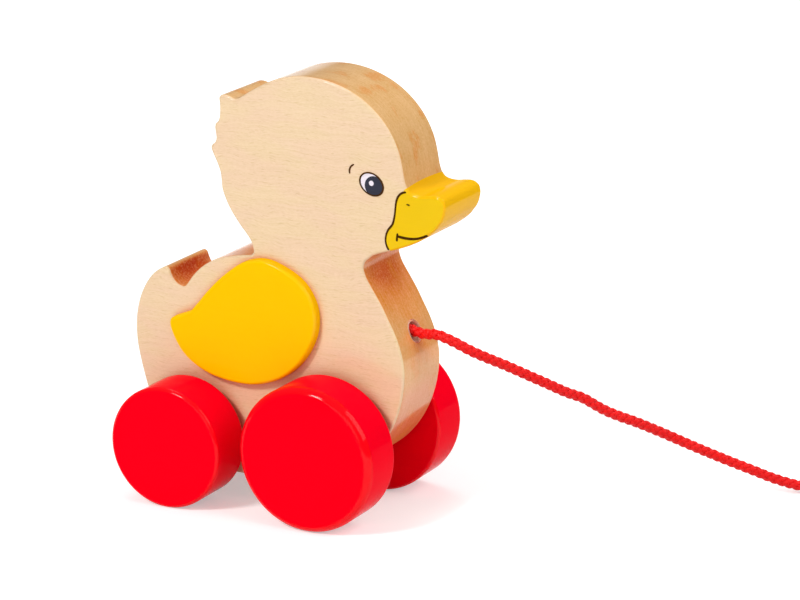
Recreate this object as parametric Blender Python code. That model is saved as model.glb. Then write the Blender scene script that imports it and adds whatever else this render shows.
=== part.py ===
"""Pull-along duck: a wooden duckling board on four wheels, with two wings and a braided pull cord.

Units are metres. +X points the way the duck looks, +Y to its left and +Z up. The floor is z = 0, and the
origin lies on it, under the middle of the duck.
"""

import math

import bmesh
import bpy
import numpy as np
from mathutils import Vector

MM = 0.001

# Clearances
GLUE_GAP = 0.3 * MM
RUNNING_CLEARANCE = 0.4 * MM
END_GAP = 0.4 * MM

# The board of the body
BOARD_THICKNESS = 25.0 * MM
BOARD_EDGE_ROUND = 0.9 * MM
SAW_CORNER_ROUND = 1.8 * MM
BELLY_HEIGHT = 8.5 * MM

# Wheels and axles
FRONT_WHEEL_RADIUS = 24.0 * MM
REAR_WHEEL_RADIUS = 20.2 * MM
WHEEL_THICKNESS = 17.2 * MM
FRONT_WHEEL_OUTER_ROUND = 3.2 * MM
REAR_WHEEL_OUTER_ROUND = 1.6 * MM
WHEEL_INNER_ROUND = 1.2 * MM
WHEEL_TO_BOARD = 2.7 * MM
FRONT_AXLE_X = 16.8 * MM
WHEELBASE = 51.2 * MM
AXLE_RADIUS = 4.0 * MM
AXLE_COVER = 5.8 * MM  # wood left between the end of the axle's hole and the wheel's outer face
AXLE_CHAMFER = 0.6 * MM

# Wings and the dowels that hold them
WING_THICKNESS = 3.0 * MM
WING_EDGE_ROUND = 1.2 * MM
WING_TIP_ROUND = 2.4 * MM
WING_DOWEL_RADIUS = 3.0 * MM
WING_DOWEL_WEB = 8.2 * MM  # wood left in the board between the sockets of its two sides
WING_DOWEL_COVER = 1.2 * MM  # wood left between a socket and the wing's outer face
WING_DOWEL_CHAMFER = 0.5 * MM
WING_DOWELS = {"front": (-8.0 * MM, 71.0 * MM), "rear": (-28.0 * MM, 55.0 * MM)}

# The pull cord, the bore that it comes out of and the pocket that holds its knot
CORD_DIAMETER = 3.5 * MM
CORD_BORE_CLEARANCE = 1.5 * MM
CORD_BORE_FLARE = 0.7 * MM
CHEST_HOLE = (39.8 * MM, 61.5 * MM)
KNOT_POCKET = (0.0 * MM, 56.0 * MM)
KNOT_RADIUS = 4.6 * MM
KNOT_LENGTH = 9.0 * MM
# A pulled-tight stop knot, two plump wraps with a waist between them, as shares of its radius and half length
KNOT_PROFILE = [(0, -1), (0.6, -0.94), (1, -0.5), (0.86, 0), (1, 0.5), (0.6, 0.94), (0, 1)]

# The coil of spare cord and the bead on its end
COIL_OUTER_RADIUS = 22.5 * MM
COIL_TURNS = 4
COIL_POINTS_PER_TURN = 24
COIL_STRAND_GAP = 0.55 * MM
COIL_TO_BEAD = 22.0 * MM
COIL_TAIL_STEPS = 4
BEAD_RADIUS = 9.0 * MM
BEAD_HOLE_CLEARANCE = 0.5 * MM
END_KNOT_RADIUS = 4.4 * MM
END_KNOT_LENGTH = 8.5 * MM

# How finely curves are cut into straight steps
OUTLINE_STEP = 2.4 * MM
CORD_STEP = 9.0 * MM
ROUND_STEPS = 2
CORNER_STEPS = 3
WHEEL_SIDES = 48
AXLE_SIDES = 24
POCKET_SIDES = 32
DOWEL_SIDES = 20
BEAD_SIDES = 20
LONG_TUBE_STEPS = 2
COIL_TUBE_STEPS = 1
SHARP_ANGLE = math.radians(35)

# The board's outline as stretches of smooth curve, in millimetres (x, z), anticlockwise seen from the right.
# A stretch runs on to the first point of the next one, where they meet in a saw corner.
BODY_OUTLINE = {
    "bill_and_head": [(28.2, 81.7), (27.8, 83.7), (28.6, 85.9), (31.0, 88.0), (35.3, 89.7), (42.0, 92.1),
                      (46.9, 94.4), (50.6, 96.8), (53.4, 99.2), (55.4, 101.9), (56.4, 104.5), (56.7, 106.8),
                      (56.1, 108.7), (54.4, 109.8), (51.6, 109.8), (48.8, 109.4), (46.2, 109.5),
                      (44.4, 110.1), (43.3, 111.3), (42.6, 113.0), (41.7, 117.3), (40.4, 122.4),
                      (36.3, 130.0), (29.6, 136.5), (19.7, 141.3), (9.0, 142.9), (-1.0, 141.6),
                      (-11.4, 136.8)],
    "tuft": [(-17.6, 132.7), (-20.2, 133.7)],
    "upper_feather": [(-24.1, 133.9), (-23.7, 129.5)],
    "upper_step": [(-24.0, 125.4)],
    "lower_feather": [(-25.8, 124.1), (-25.4, 121.4)],
    "lower_step": [(-25.0, 118.6)],
    "nape": [(-27.6, 116.7), (-25.7, 113.0), (-23.8, 108.4), (-23.3, 103.6), (-20.9, 97.8),
             (-16.6, 91.8), (-13.0, 87.4)],
    "back": [(-11.6, 82.8), (-18.8, 81.7), (-26.8, 79.2), (-32.8, 75.0)],
    "notch": [(-37.9, 68.4), (-41.4, 70.2), (-43.0, 72.7)],
    "tail": [(-43.9, 75.3), (-49.4, 72.0), (-53.6, 66.2), (-56.2, 58.0), (-56.5, 49.5), (-54.6, 39.6),
             (-50.9, 28.4), (-44.6, 17.8), (-36.6, 10.9)],
    "belly": [(-28.0, BELLY_HEIGHT / MM)],
    "chest": [(0.0, BELLY_HEIGHT / MM), (10.2, 10.3), (20.5, 14.9), (30.8, 22.1), (37.2, 30.4), (40.9, 39.5),
              (42.2, 46.2), (42.4, 51.5), (41.7, 56.0), (40.4, 60.2), (38.7, 64.1), (36.5, 68.1),
              (34.3, 72.1), (31.7, 76.1), (29.1, 80.1)],
}

# The wing's outline in millimetres (x, z): one smooth curve from the tip round to the tip again.
WING_OUTLINE = [(-42.4, 58.4), (-40.8, 53.4), (-36.9, 47.4), (-29.3, 42.5), (-19.7, 40.3), (-9.2, 40.7),
                (2.0, 45.6), (9.2, 53.8), (12.3, 62.3), (11.8, 69.4), (7.9, 75.9), (0.2, 80.6), (-6.9, 82.4),
                (-13.2, 81.2), (-20.4, 76.4), (-27.9, 69.1), (-32.2, 64.0), (-34.2, 61.9), (-37.2, 60.6)]

# The free cord's route in millimetres: level out of the chest, down to the floor and on to the coil.
CORD_ROUTE = [(33.6, 0.0, 61.6), (37.6, 0.0, 62.1), (40.5, 0.0, 61.4), (43.2, 0.0, 61.1), (47.6, 0.2, 61.4),
              (51.4, 1.1, 60.1), (57.7, 4.6, 56.2), (65.9, 12.0, 50.7), (75.6, 21.9, 43.4), (80.6, 27.3, 39.5),
              (84.4, 31.4, 37.0), (86.9, 33.9, 34.7), (89.2, 36.4, 32.5), (92.8, 40.0, 29.9),
              (96.3, 43.6, 27.7), (102.6, 49.6, 23.5), (110.6, 56.6, 18.1), (118.8, 63.2, 13.0),
              (127.1, 69.0, 8.5), (135.2, 73.9, 4.6), (142.2, 77.7, 2.4), (150.0, 81.8, 1.8),
              (158.0, 86.1, 1.8), (165.0, 89.8, 1.8)]


# Curves


def smooth_curve(points, step):
    """Points about one step apart on a smooth curve through the given points, first and last included."""
    points = np.asarray(points, float)
    spans = np.linalg.norm(np.diff(points, axis=0), axis=1)
    slopes = np.diff(points, axis=0) / spans[:, None]
    tangents = np.empty_like(points)
    before, after = spans[:-1, None], spans[1:, None]
    tangents[1:-1] = (slopes[:-1] * after + slopes[1:] * before) / (before + after)
    tangents[0] = 1.5 * slopes[0] - 0.5 * (tangents[1] if len(points) > 2 else slopes[0])
    tangents[-1] = 1.5 * slopes[-1] - 0.5 * (tangents[-2] if len(points) > 2 else slopes[-1])
    found = [points[:1]]
    for i, span in enumerate(spans):
        count = max(1, round(span / step))
        t = np.linspace(0, 1, count + 1)[1:, None]
        found.append(
            (2 * t**3 - 3 * t**2 + 1) * points[i]
            + (t**3 - 2 * t**2 + t) * span * tangents[i]
            + (3 * t**2 - 2 * t**3) * points[i + 1]
            + (t**3 - t**2) * span * tangents[i + 1]
        )
    return np.concatenate(found)


def length_along(points):
    return np.concatenate([[0], np.cumsum(np.linalg.norm(np.diff(points, axis=0), axis=1))])


def cut_back(curve, cut):
    """The curve less a cut from each end, measured along it. A short curve keeps a fifth of its length."""
    along = length_along(curve)
    cut = min(cut, 0.4 * along[-1])
    ends = np.array([cut, along[-1] - cut])
    clear = 0.2 * cut
    inner = curve[(along > ends[0] + clear) & (along < ends[1] - clear)]
    first, last = np.stack([np.interp(ends, along, curve[:, k]) for k in range(curve.shape[1])], axis=1)
    return np.concatenate([first[None], inner, last[None]])


def rounded_loop(stretches, cut):
    """A closed outline of curves that meet in corners, each rounded from one cut before it to one after."""
    trimmed = [cut_back(curve, cut) for curve in stretches]
    loop = []
    for here, following, whole in zip(trimmed, trimmed[1:] + trimmed[:1], stretches):
        start, corner, end = here[-1], whole[-1], following[0]
        t = np.linspace(0, 1, CORNER_STEPS + 1)[1:-1, None]
        arc = (1 - t) ** 2 * start + 2 * t * (1 - t) * corner + t**2 * end
        loop += [here, arc]
    return np.concatenate(loop)


def body_outline():
    names = list(BODY_OUTLINE)
    stretches = []
    for name, following in zip(names, names[1:] + names[:1]):
        route = np.array(BODY_OUTLINE[name] + BODY_OUTLINE[following][:1]) * MM
        stretches.append(smooth_curve(route, OUTLINE_STEP))
    return rounded_loop(stretches, SAW_CORNER_ROUND)


def wing_outline():
    route = np.array(WING_OUTLINE + WING_OUTLINE[:1]) * MM
    return rounded_loop([smooth_curve(route, OUTLINE_STEP)], WING_TIP_ROUND)


def inset(loop, distance):
    """The closed anticlockwise loop moved inwards by a distance."""
    back, ahead = loop - np.roll(loop, 1, axis=0), np.roll(loop, -1, axis=0) - loop
    bisector = np.zeros_like(loop)
    for side in (back, ahead):
        inwards = np.stack([-side[:, 1], side[:, 0]], axis=1)
        bisector += inwards / np.linalg.norm(side, axis=1)[:, None]
    stretch = 2 / np.sum(bisector**2, axis=1)
    return loop + distance * bisector * stretch[:, None]


def rounding(radius):
    """The rounded edge of a slab as (inset, drop below its face), from the side wall to the face."""
    angles = np.linspace(0, math.pi / 2, ROUND_STEPS + 1)
    return [(radius * (1 - math.cos(a)), radius * (1 - math.sin(a))) for a in angles]


# Meshes and objects


def material(name, colour, roughness):
    made = bpy.data.materials.new(name)
    made.use_nodes = True
    shader = made.node_tree.nodes["Principled BSDF"]
    shader.inputs["Base Color"].default_value = (*colour, 1)
    shader.inputs["Roughness"].default_value = roughness
    shader.inputs["Metallic"].default_value = 0
    return made


def add_object(name, data, slot, parent):
    made = bpy.data.objects.new(name, data)
    bpy.context.scene.collection.objects.link(made)
    made.parent = parent
    if slot is not None:
        data.materials.append(slot)
    return made


def add_empty(name, location=(0, 0, 0), parent=None):
    made = bpy.data.objects.new(name, None)
    bpy.context.scene.collection.objects.link(made)
    made.location = location
    made.parent = parent
    made.empty_display_size = AXLE_RADIUS
    return made


def mesh_of_rings(name, rings, close_ends=True):
    """A mesh over rings of points, one of which may be a single tip. Ends that aren't closed join up."""
    bm = bmesh.new()
    levels = [[bm.verts.new(p) for p in ring] for ring in rings]
    pairs = list(zip(levels, levels[1:]))
    if close_ends:
        for level in (levels[0], levels[-1]):
            if len(level) > 1:
                bm.faces.new(level)
    else:
        pairs.append((levels[-1], levels[0]))
    for low, high in pairs:
        count = max(len(low), len(high))
        for i in range(count):
            j = (i + 1) % count
            corners = [low[i % len(low)], low[j % len(low)], high[j % len(high)], high[i % len(high)]]
            bm.faces.new(list(dict.fromkeys(corners)))
    bmesh.ops.recalc_face_normals(bm, faces=bm.faces)
    mesh = bpy.data.meshes.new(name)
    bm.to_mesh(mesh)
    bm.free()
    mesh.shade_smooth()
    mesh.set_sharp_from_angle(angle=SHARP_ANGLE)
    return mesh


def slab_mesh(name, outline, levels):
    """A flat piece in the XZ plane from (inset, y) levels."""
    rings = []
    for distance, y in levels:
        loop = inset(outline, distance) if distance else outline
        rings.append([(x, y, z) for x, z in loop])
    return mesh_of_rings(name, rings)


def turned_mesh(name, profile, sides, closed=False):
    """A turned piece about Z from a (radius, z) profile, which is a loop round a bore if closed."""
    angles = np.arange(sides) * 2 * math.pi / sides
    rings = []
    for radius, z in profile:
        if radius == 0:
            rings.append([(0, 0, z)])
        else:
            rings.append([(radius * math.cos(a), radius * math.sin(a), z) for a in angles])
    return mesh_of_rings(name, rings, close_ends=not closed)


def dowel_profile(radius, length, chamfer):
    half = length / 2
    return [(0, -half), (radius - chamfer, -half), (radius, chamfer - half), (radius, half - chamfer),
            (radius - chamfer, half), (0, half)]


def drill(target, name, profile, location, direction, sides=DOWEL_SIDES):
    """Cuts a turned shape out of target, with the shape's Z axis along direction."""
    cutter = add_object(name, turned_mesh(name, profile, sides), None, target.parent)
    cutter.location = location
    cutter.rotation_mode = "QUATERNION"
    cutter.rotation_quaternion = Vector(direction).to_track_quat("Z", "Y")
    cutter.hide_render = True
    cutter.display_type = "WIRE"
    cut = target.modifiers.new(name, "BOOLEAN")
    cut.operation = "DIFFERENCE"
    cut.solver = "EXACT"
    cut.object = cutter


def straight_hole(radius, depth):
    """The profile of a flat-bottomed hole that starts at its mouth and goes depth along +Z."""
    overshoot = radius
    return [(0, -overshoot), (radius, -overshoot), (radius, depth), (0, depth)]


def through_hole(radius, thickness):
    """The profile of a hole that starts at its mouth and goes right through a thickness along +Z."""
    return straight_hole(radius, thickness + radius)


# Places that several pieces share


def axle_centre(front):
    if front:
        return Vector((FRONT_AXLE_X, 0, FRONT_WHEEL_RADIUS))
    return Vector((FRONT_AXLE_X - WHEELBASE, 0, REAR_WHEEL_RADIUS))


def wheel_inner_face():
    return BOARD_THICKNESS / 2 + WHEEL_TO_BOARD


def axle_in_wheel():
    return WHEEL_THICKNESS - AXLE_COVER - END_GAP


def wing_dowel_in_board():
    return (BOARD_THICKNESS - WING_DOWEL_WEB) / 2 - END_GAP


def wing_dowel_in_wing():
    return WING_THICKNESS - WING_DOWEL_COVER - END_GAP


def cord_bore_radius():
    return CORD_DIAMETER / 2 + CORD_BORE_CLEARANCE


def bore_direction():
    """The way the cord's bore runs out of the knot pocket to the chest."""
    run = Vector((CHEST_HOLE[0] - KNOT_POCKET[0], 0, CHEST_HOLE[1] - KNOT_POCKET[1]))
    return run.normalized()


def pocket_centre():
    return Vector((KNOT_POCKET[0], 0, KNOT_POCKET[1]))


def pocket_radius():
    """A pocket that the whole knot fits in, whichever way it lies."""
    return math.hypot(KNOT_RADIUS, KNOT_LENGTH / 2)


def knot_centre():
    """Where the stop knot sits when it is pulled up to the mouth of the cord's bore."""
    mouth = math.sqrt(pocket_radius()**2 - cord_bore_radius()**2)
    shoulder = KNOT_PROFILE[-2:-4:-1]
    shares, places = zip(*shoulder)
    reach = np.interp(cord_bore_radius() / KNOT_RADIUS, shares, places) * KNOT_LENGTH / 2
    return pocket_centre() + bore_direction() * (mouth - reach - GLUE_GAP)


# The pieces


def make_body(slot, parent):
    half = BOARD_THICKNESS / 2
    edge = [(inward, half - drop) for inward, drop in rounding(BOARD_EDGE_ROUND)]
    levels = [(inward, -y) for inward, y in reversed(edge)] + edge
    body = add_object("duck_body", slab_mesh("duck_body", body_outline(), levels), slot, parent)

    for front, end in ((True, "front"), (False, "rear")):
        mouth = axle_centre(front) + Vector((0, -half, 0))
        profile = through_hole(AXLE_RADIUS + RUNNING_CLEARANCE, BOARD_THICKNESS)
        drill(body, f"cut_{end}_axle_bore", profile, mouth, (0, 1, 0), AXLE_SIDES)

    out = bore_direction()
    length = (Vector((CHEST_HOLE[0], 0, CHEST_HOLE[1])) - pocket_centre()).length
    radius = cord_bore_radius()
    flare = radius + 2 * CORD_BORE_FLARE
    beyond = length + radius
    profile = [(0, 0), (radius, 0), (radius, length - CORD_BORE_FLARE), (flare, length + CORD_BORE_FLARE),
               (flare, beyond), (0, beyond)]
    drill(body, "cut_cord_bore", profile, pocket_centre(), out)

    mouth = pocket_centre() + Vector((0, -half, 0))
    profile = straight_hole(pocket_radius(), half + pocket_radius())
    drill(body, "cut_knot_pocket", profile, mouth, (0, 1, 0), POCKET_SIDES)

    for side, word in ((-1, "right"), (1, "left")):
        for place, (x, z) in WING_DOWELS.items():
            profile = straight_hole(WING_DOWEL_RADIUS + GLUE_GAP, wing_dowel_in_board() + END_GAP)
            drill(body, f"cut_{word}_{place}_socket", profile, (x, side * half, z), (0, -side, 0))
    return body


def make_wing(side, word, slot, dowel_slot, parent):
    base = BOARD_THICKNESS / 2 + GLUE_GAP
    outer = base + WING_THICKNESS
    levels = [(0, side * base)]
    levels += [(inward, side * (outer - drop)) for inward, drop in rounding(WING_EDGE_ROUND)]
    wing = add_object(f"{word}_wing", slab_mesh(f"{word}_wing", wing_outline(), levels), slot, parent)
    low = BOARD_THICKNESS / 2 - wing_dowel_in_board()
    high = base + wing_dowel_in_wing()
    for place, (x, z) in WING_DOWELS.items():
        profile = straight_hole(WING_DOWEL_RADIUS + GLUE_GAP, wing_dowel_in_wing() + END_GAP)
        drill(wing, f"cut_{word}_wing_{place}_socket", profile, (x, side * base, z), (0, side, 0))
        name = f"{word}_wing_dowel_{place}"
        profile = dowel_profile(WING_DOWEL_RADIUS, high - low, WING_DOWEL_CHAMFER)
        dowel = add_object(name, turned_mesh(name, profile, DOWEL_SIDES), dowel_slot, parent)
        dowel.location = (x, side * (low + high) / 2, z)
        dowel.rotation_euler = (math.pi / 2, 0, 0)


def wheel_profile(radius, outer_round):
    """The wheel about Z, with its inner face at z = 0 and a blind hole for the axle."""
    hole = AXLE_RADIUS + GLUE_GAP
    outer = [(radius - inward, WHEEL_THICKNESS - drop) for inward, drop in rounding(outer_round)]
    inner = [(radius - inward, drop) for inward, drop in rounding(WHEEL_INNER_ROUND)]
    depth = axle_in_wheel() + END_GAP
    return [(0, WHEEL_THICKNESS)] + outer[::-1] + inner + [(hole, 0), (hole, depth), (0, depth)]


def make_wheelset(front, axle_slot, wheel_slot, parent):
    end = "front" if front else "rear"
    line = add_empty(f"{end}_axle_line", axle_centre(front), parent)
    name = f"{end}_axle"
    length = 2 * (wheel_inner_face() + axle_in_wheel())
    profile = dowel_profile(AXLE_RADIUS, length, AXLE_CHAMFER)
    axle = add_object(name, turned_mesh(name, profile, AXLE_SIDES), axle_slot, line)
    axle.rotation_euler = (math.pi / 2, 0, 0)
    radius = FRONT_WHEEL_RADIUS if front else REAR_WHEEL_RADIUS
    outer_round = FRONT_WHEEL_OUTER_ROUND if front else REAR_WHEEL_OUTER_ROUND
    for side, word in ((-1, "right"), (1, "left")):
        name = f"{end}_wheel_{word}"
        mesh = turned_mesh(name, wheel_profile(radius, outer_round), WHEEL_SIDES)
        wheel = add_object(name, mesh, wheel_slot, line)
        wheel.location = (0, side * wheel_inner_face(), 0)
        wheel.rotation_euler = (-side * math.pi / 2, 0, 0)


def cord_tube(name, points, bevel_steps, slot, parent):
    """A round tube along points as a curve with filled ends."""
    curve = bpy.data.curves.new(name, "CURVE")
    curve.dimensions = "3D"
    curve.bevel_depth = CORD_DIAMETER / 2
    curve.bevel_resolution = bevel_steps
    curve.use_fill_caps = True
    spline = curve.splines.new("POLY")
    spline.points.add(len(points) - 1)
    for target, place in zip(spline.points, points):
        target.co = (*place, 1)
    spline.use_smooth = True
    return add_object(name, curve, slot, parent)


def knot_mesh(name, radius, length):
    profile = [(share * radius, place * length / 2) for share, place in KNOT_PROFILE]
    return turned_mesh(name, profile, DOWEL_SIDES)


def place_along(made, centre, direction):
    made.location = centre
    made.rotation_mode = "QUATERNION"
    made.rotation_quaternion = Vector(direction).to_track_quat("Z", "Y")


def make_cord_inside(slot, parent):
    """The stop knot in its pocket, and the cord from it to where the free cord begins in the bore."""
    out = bore_direction()
    free_start = Vector(CORD_ROUTE[0]) * MM
    knot = add_object("cord_stop_knot", knot_mesh("cord_stop_knot", KNOT_RADIUS, KNOT_LENGTH), slot, parent)
    place_along(knot, knot_centre(), out)
    start = knot_centre() + out * (KNOT_LENGTH / 2 + GLUE_GAP)
    end = free_start - (free_start - start).normalized() * GLUE_GAP
    run = np.linspace(start, end, max(2, round((end - start).length / CORD_STEP) + 1))
    cord_tube("cord_in_bore", run, LONG_TUBE_STEPS, slot, parent)


def coil_points():
    """The coil from where the free cord ends: in on the floor, up a layer, out again and on to the bead."""
    route = np.array(CORD_ROUTE) * MM
    start = route[-1]
    heading = route[-1] - route[-2]
    heading = np.array([heading[0], heading[1], 0]) / np.hypot(heading[0], heading[1])
    to_right = np.array([heading[1], -heading[0], 0])
    straight = CORD_DIAMETER
    centre = start + heading * straight + to_right * COIL_OUTER_RADIUS

    pitch = CORD_DIAMETER + COIL_STRAND_GAP
    whole = COIL_TURNS * 2 * math.pi
    angles = np.linspace(0, whole, COIL_TURNS * COIL_POINTS_PER_TURN + 1)
    radius = COIL_OUTER_RADIUS - pitch * np.minimum(angles, whole - angles) / (2 * math.pi)
    climb = np.clip((angles - whole / 2) / math.pi + 0.5, 0, 1)
    lift = pitch * climb**2 * (3 - 2 * climb)
    wound = centre - np.outer(radius * np.cos(angles), to_right) + np.outer(radius * np.sin(angles), heading)
    wound[:, 2] += lift

    last = wound[-1]
    rise = BEAD_RADIUS - last[2]
    before_bead = COIL_TO_BEAD - BEAD_RADIUS - CORD_DIAMETER
    bend = np.linspace(0, 1, COIL_TAIL_STEPS + 1)[1:]
    tail = last + np.outer(bend * before_bead, heading)
    tail[:, 2] += rise * bend**2 * (3 - 2 * bend)
    bead_at = np.array([*(last + heading * COIL_TO_BEAD)[:2], BEAD_RADIUS])
    end = bead_at + heading * (BEAD_RADIUS + END_GAP - GLUE_GAP)
    points = np.concatenate([(start + heading * GLUE_GAP)[None], wound, tail, bead_at[None], end[None]])
    return points, bead_at, heading


def least_gap(points, diameter):
    """The least clear gap of a cord to itself, between points three diameters or more apart along it."""
    along = length_along(points)
    between = np.linalg.norm(points[:, None] - points[None], axis=2)
    apart = np.abs(along[:, None] - along[None]) > 3 * diameter
    return between[apart].min() - diameter


def make_free_cord(slot, bead_slot, parent):
    lead = smooth_curve(np.array(CORD_ROUTE) * MM, CORD_STEP)
    cord_tube("pull_cord", lead, LONG_TUBE_STEPS, slot, parent)
    points, bead_at, heading = coil_points()
    cord_tube("pull_cord_coil", points, COIL_TUBE_STEPS, slot, parent)
    gap = least_gap(points, CORD_DIAMETER)
    whole = length_along(lead)[-1] + length_along(points)[-1]
    print(f"coil: least gap to itself {gap / MM:.2f} mm; free cord {whole:.3f} m long")

    hole = CORD_DIAMETER / 2 + BEAD_HOLE_CLEARANCE
    half = math.sqrt(BEAD_RADIUS**2 - hole**2)
    tilt = math.asin(half / BEAD_RADIUS)
    angles = np.linspace(tilt, -tilt, BEAD_SIDES // 2 + 1)
    profile = [(BEAD_RADIUS * math.cos(a), BEAD_RADIUS * math.sin(a)) for a in angles]
    bead_mesh = turned_mesh("pull_bead", profile, BEAD_SIDES, closed=True)
    bead = add_object("pull_bead", bead_mesh, bead_slot, parent)
    place_along(bead, bead_at, heading)
    knot = add_object("end_knot", knot_mesh("end_knot", END_KNOT_RADIUS, END_KNOT_LENGTH), slot, parent)
    place_along(knot, bead_at + heading * (BEAD_RADIUS + END_GAP + END_KNOT_LENGTH / 2), heading)


def main():
    for old in list(bpy.data.objects):
        bpy.data.objects.remove(old, do_unlink=True)
    wood = material("wood", (0.80, 0.60, 0.38), 0.45)
    dowel_wood = material("dowel_wood", (0.76, 0.56, 0.35), 0.55)
    yellow = material("yellow_paint", (0.98, 0.57, 0.01), 0.30)
    red = material("red_paint", (0.85, 0.01, 0.02), 0.22)
    cord_red = material("red_cord", (0.80, 0.02, 0.02), 0.75)

    toy = add_empty("pull_along_duck")
    make_body(wood, toy)
    for side, word in ((-1, "right"), (1, "left")):
        make_wing(side, word, yellow, dowel_wood, toy)
    for front in (True, False):
        make_wheelset(front, dowel_wood, red, toy)
    make_cord_inside(cord_red, toy)
    make_free_cord(cord_red, yellow, toy)


main()
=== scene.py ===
"""How the pull-along duck looks: its finishes, its prints and its braided cord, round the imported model.

Units are metres. +X points the way the duck looks, +Y to its left and +Z up. The floor is z = 0.
"""

from math import acos, ceil, cos, hypot, pi, radians, sin, tau
from types import SimpleNamespace

import bmesh
import bpy
import numpy as np
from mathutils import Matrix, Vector


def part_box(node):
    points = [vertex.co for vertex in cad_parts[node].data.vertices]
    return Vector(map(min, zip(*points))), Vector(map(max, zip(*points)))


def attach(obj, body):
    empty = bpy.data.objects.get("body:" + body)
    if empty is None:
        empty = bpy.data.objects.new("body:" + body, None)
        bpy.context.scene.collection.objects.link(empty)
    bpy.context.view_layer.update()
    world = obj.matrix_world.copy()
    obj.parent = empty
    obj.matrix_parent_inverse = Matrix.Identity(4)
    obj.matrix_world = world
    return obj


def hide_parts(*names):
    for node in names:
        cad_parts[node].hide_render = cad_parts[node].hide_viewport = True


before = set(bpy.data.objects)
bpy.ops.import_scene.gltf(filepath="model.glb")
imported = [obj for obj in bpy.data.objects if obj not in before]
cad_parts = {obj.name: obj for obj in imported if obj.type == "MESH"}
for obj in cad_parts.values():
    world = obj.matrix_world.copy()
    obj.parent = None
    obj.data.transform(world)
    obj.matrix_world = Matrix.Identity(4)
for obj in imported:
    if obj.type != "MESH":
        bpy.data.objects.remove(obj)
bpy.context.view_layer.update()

MM = 0.001

# The duck's two sides, as the sign of y and a word, and the ends of what comes in pairs along it
FLANKS = ((-1, "right"), (1, "left"))
ENDS = ("front", "rear")

# The photograph's view
CAMERA_PLACE = (0.53301, -0.93897, 0.38137)
CAMERA_TARGET = (0.03445, 0.0, 0.07107)
CAMERA_LENS = 157.5
CAMERA_SENSOR = 36.0

# Sizes that the solids have
BOARD_EDGE_ROUND = 0.9 * MM
WING_EDGE_ROUND = 1.2 * MM
WHEEL_OUTER_ROUND = {"front": 3.2 * MM, "rear": 1.6 * MM}
WHEEL_INNER_ROUND = 1.2 * MM
RUNNING_CLEARANCE = 0.4 * MM
GLUE_GAP = 0.3 * MM
END_GAP = 0.4 * MM
CHEST_HOLE = (39.8 * MM, 61.5 * MM)
KNOT_POCKET = (0.0, 56.0 * MM)
CORD_BORE_RADIUS = 3.25 * MM
CORD_BORE_FLARE = 0.7 * MM
CORD_DIAMETER = 3.5 * MM
COIL_OUTER_RADIUS = 22.5 * MM
COIL_TURNS = 4
COIL_POINTS_PER_TURN = 24
COIL_STRAND_GAP = 0.55 * MM
COIL_TO_BEAD = 22.0 * MM
COIL_TAIL_STEPS = 4
BEAD_RADIUS = 9.0 * MM
BEAD_HOLE_CLEARANCE = 0.5 * MM

# Small details of turned pieces, whose ends close in a flat round the axis
BEAD_LIP_ROUND = 0.9 * MM
AXLE_CHAMFER = 0.6 * MM
AXLE_END_FLAT = 0.2 * MM
WHEEL_END_FLAT = 0.3 * MM

# The free cord's route in millimetres: level out of the chest, down to the floor and on to the coil
CORD_ROUTE = [
    (33.6, 0.0, 61.6), (37.6, 0.0, 62.1), (40.5, 0.0, 61.4), (43.2, 0.0, 61.1), (47.6, 0.2, 61.4),
    (51.4, 1.1, 60.1), (57.7, 4.6, 56.2), (65.9, 12.0, 50.7), (75.6, 21.9, 43.4), (80.6, 27.3, 39.5),
    (84.4, 31.4, 37.0), (86.9, 33.9, 34.7), (89.2, 36.4, 32.5), (92.8, 40.0, 29.9), (96.3, 43.6, 27.7),
    (102.6, 49.6, 23.5), (110.6, 56.6, 18.1), (118.8, 63.2, 13.0), (127.1, 69.0, 8.5), (135.2, 73.9, 4.6),
    (142.2, 77.7, 2.4), (150.0, 81.8, 1.8), (158.0, 86.1, 1.8), (165.0, 89.8, 1.8),
]

# The braid: so many strands wind each way round a core, over and under each other
BRAID_STRANDS = 3
BRAID_PITCH = 7.8 * MM
BRAID_STEP = 0.5 * MM
STRAND_MIDDLE = 1.15 * MM
STRAND_WEAVE = 0.24 * MM
STRAND_THIN = 0.42 * MM
STRAND_WIDE = 0.86 * MM
STRAND_SIDES = 8

# The knots: the cord, drawn thinner, wraps round itself and dives in at both ends
KNOT_CORD_SHARE = 0.86
KNOT_TURNS = 2.15
KNOT_POINTS = 160
KNOT_DIVE_SHARE = 0.12
KNOT_DIVE_TO = 0.25
END_KNOT_LENGTH = 8.5 * MM
STOP_KNOT_RADIUS = 4.6 * MM
STOP_KNOT_LENGTH = 9.0 * MM
STOP_KNOT_TO_CORD = 4.8 * MM

# The woven tape that holds the coil
TIE_WIDTH = 4.0 * MM
TIE_THICKNESS = 0.3 * MM
TIE_LAP_GAP = 0.1 * MM

# Paint and print films stand this far proud of the wood
PAINT_FILM = 0.05 * MM
INK_FILM = 0.04 * MM

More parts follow.
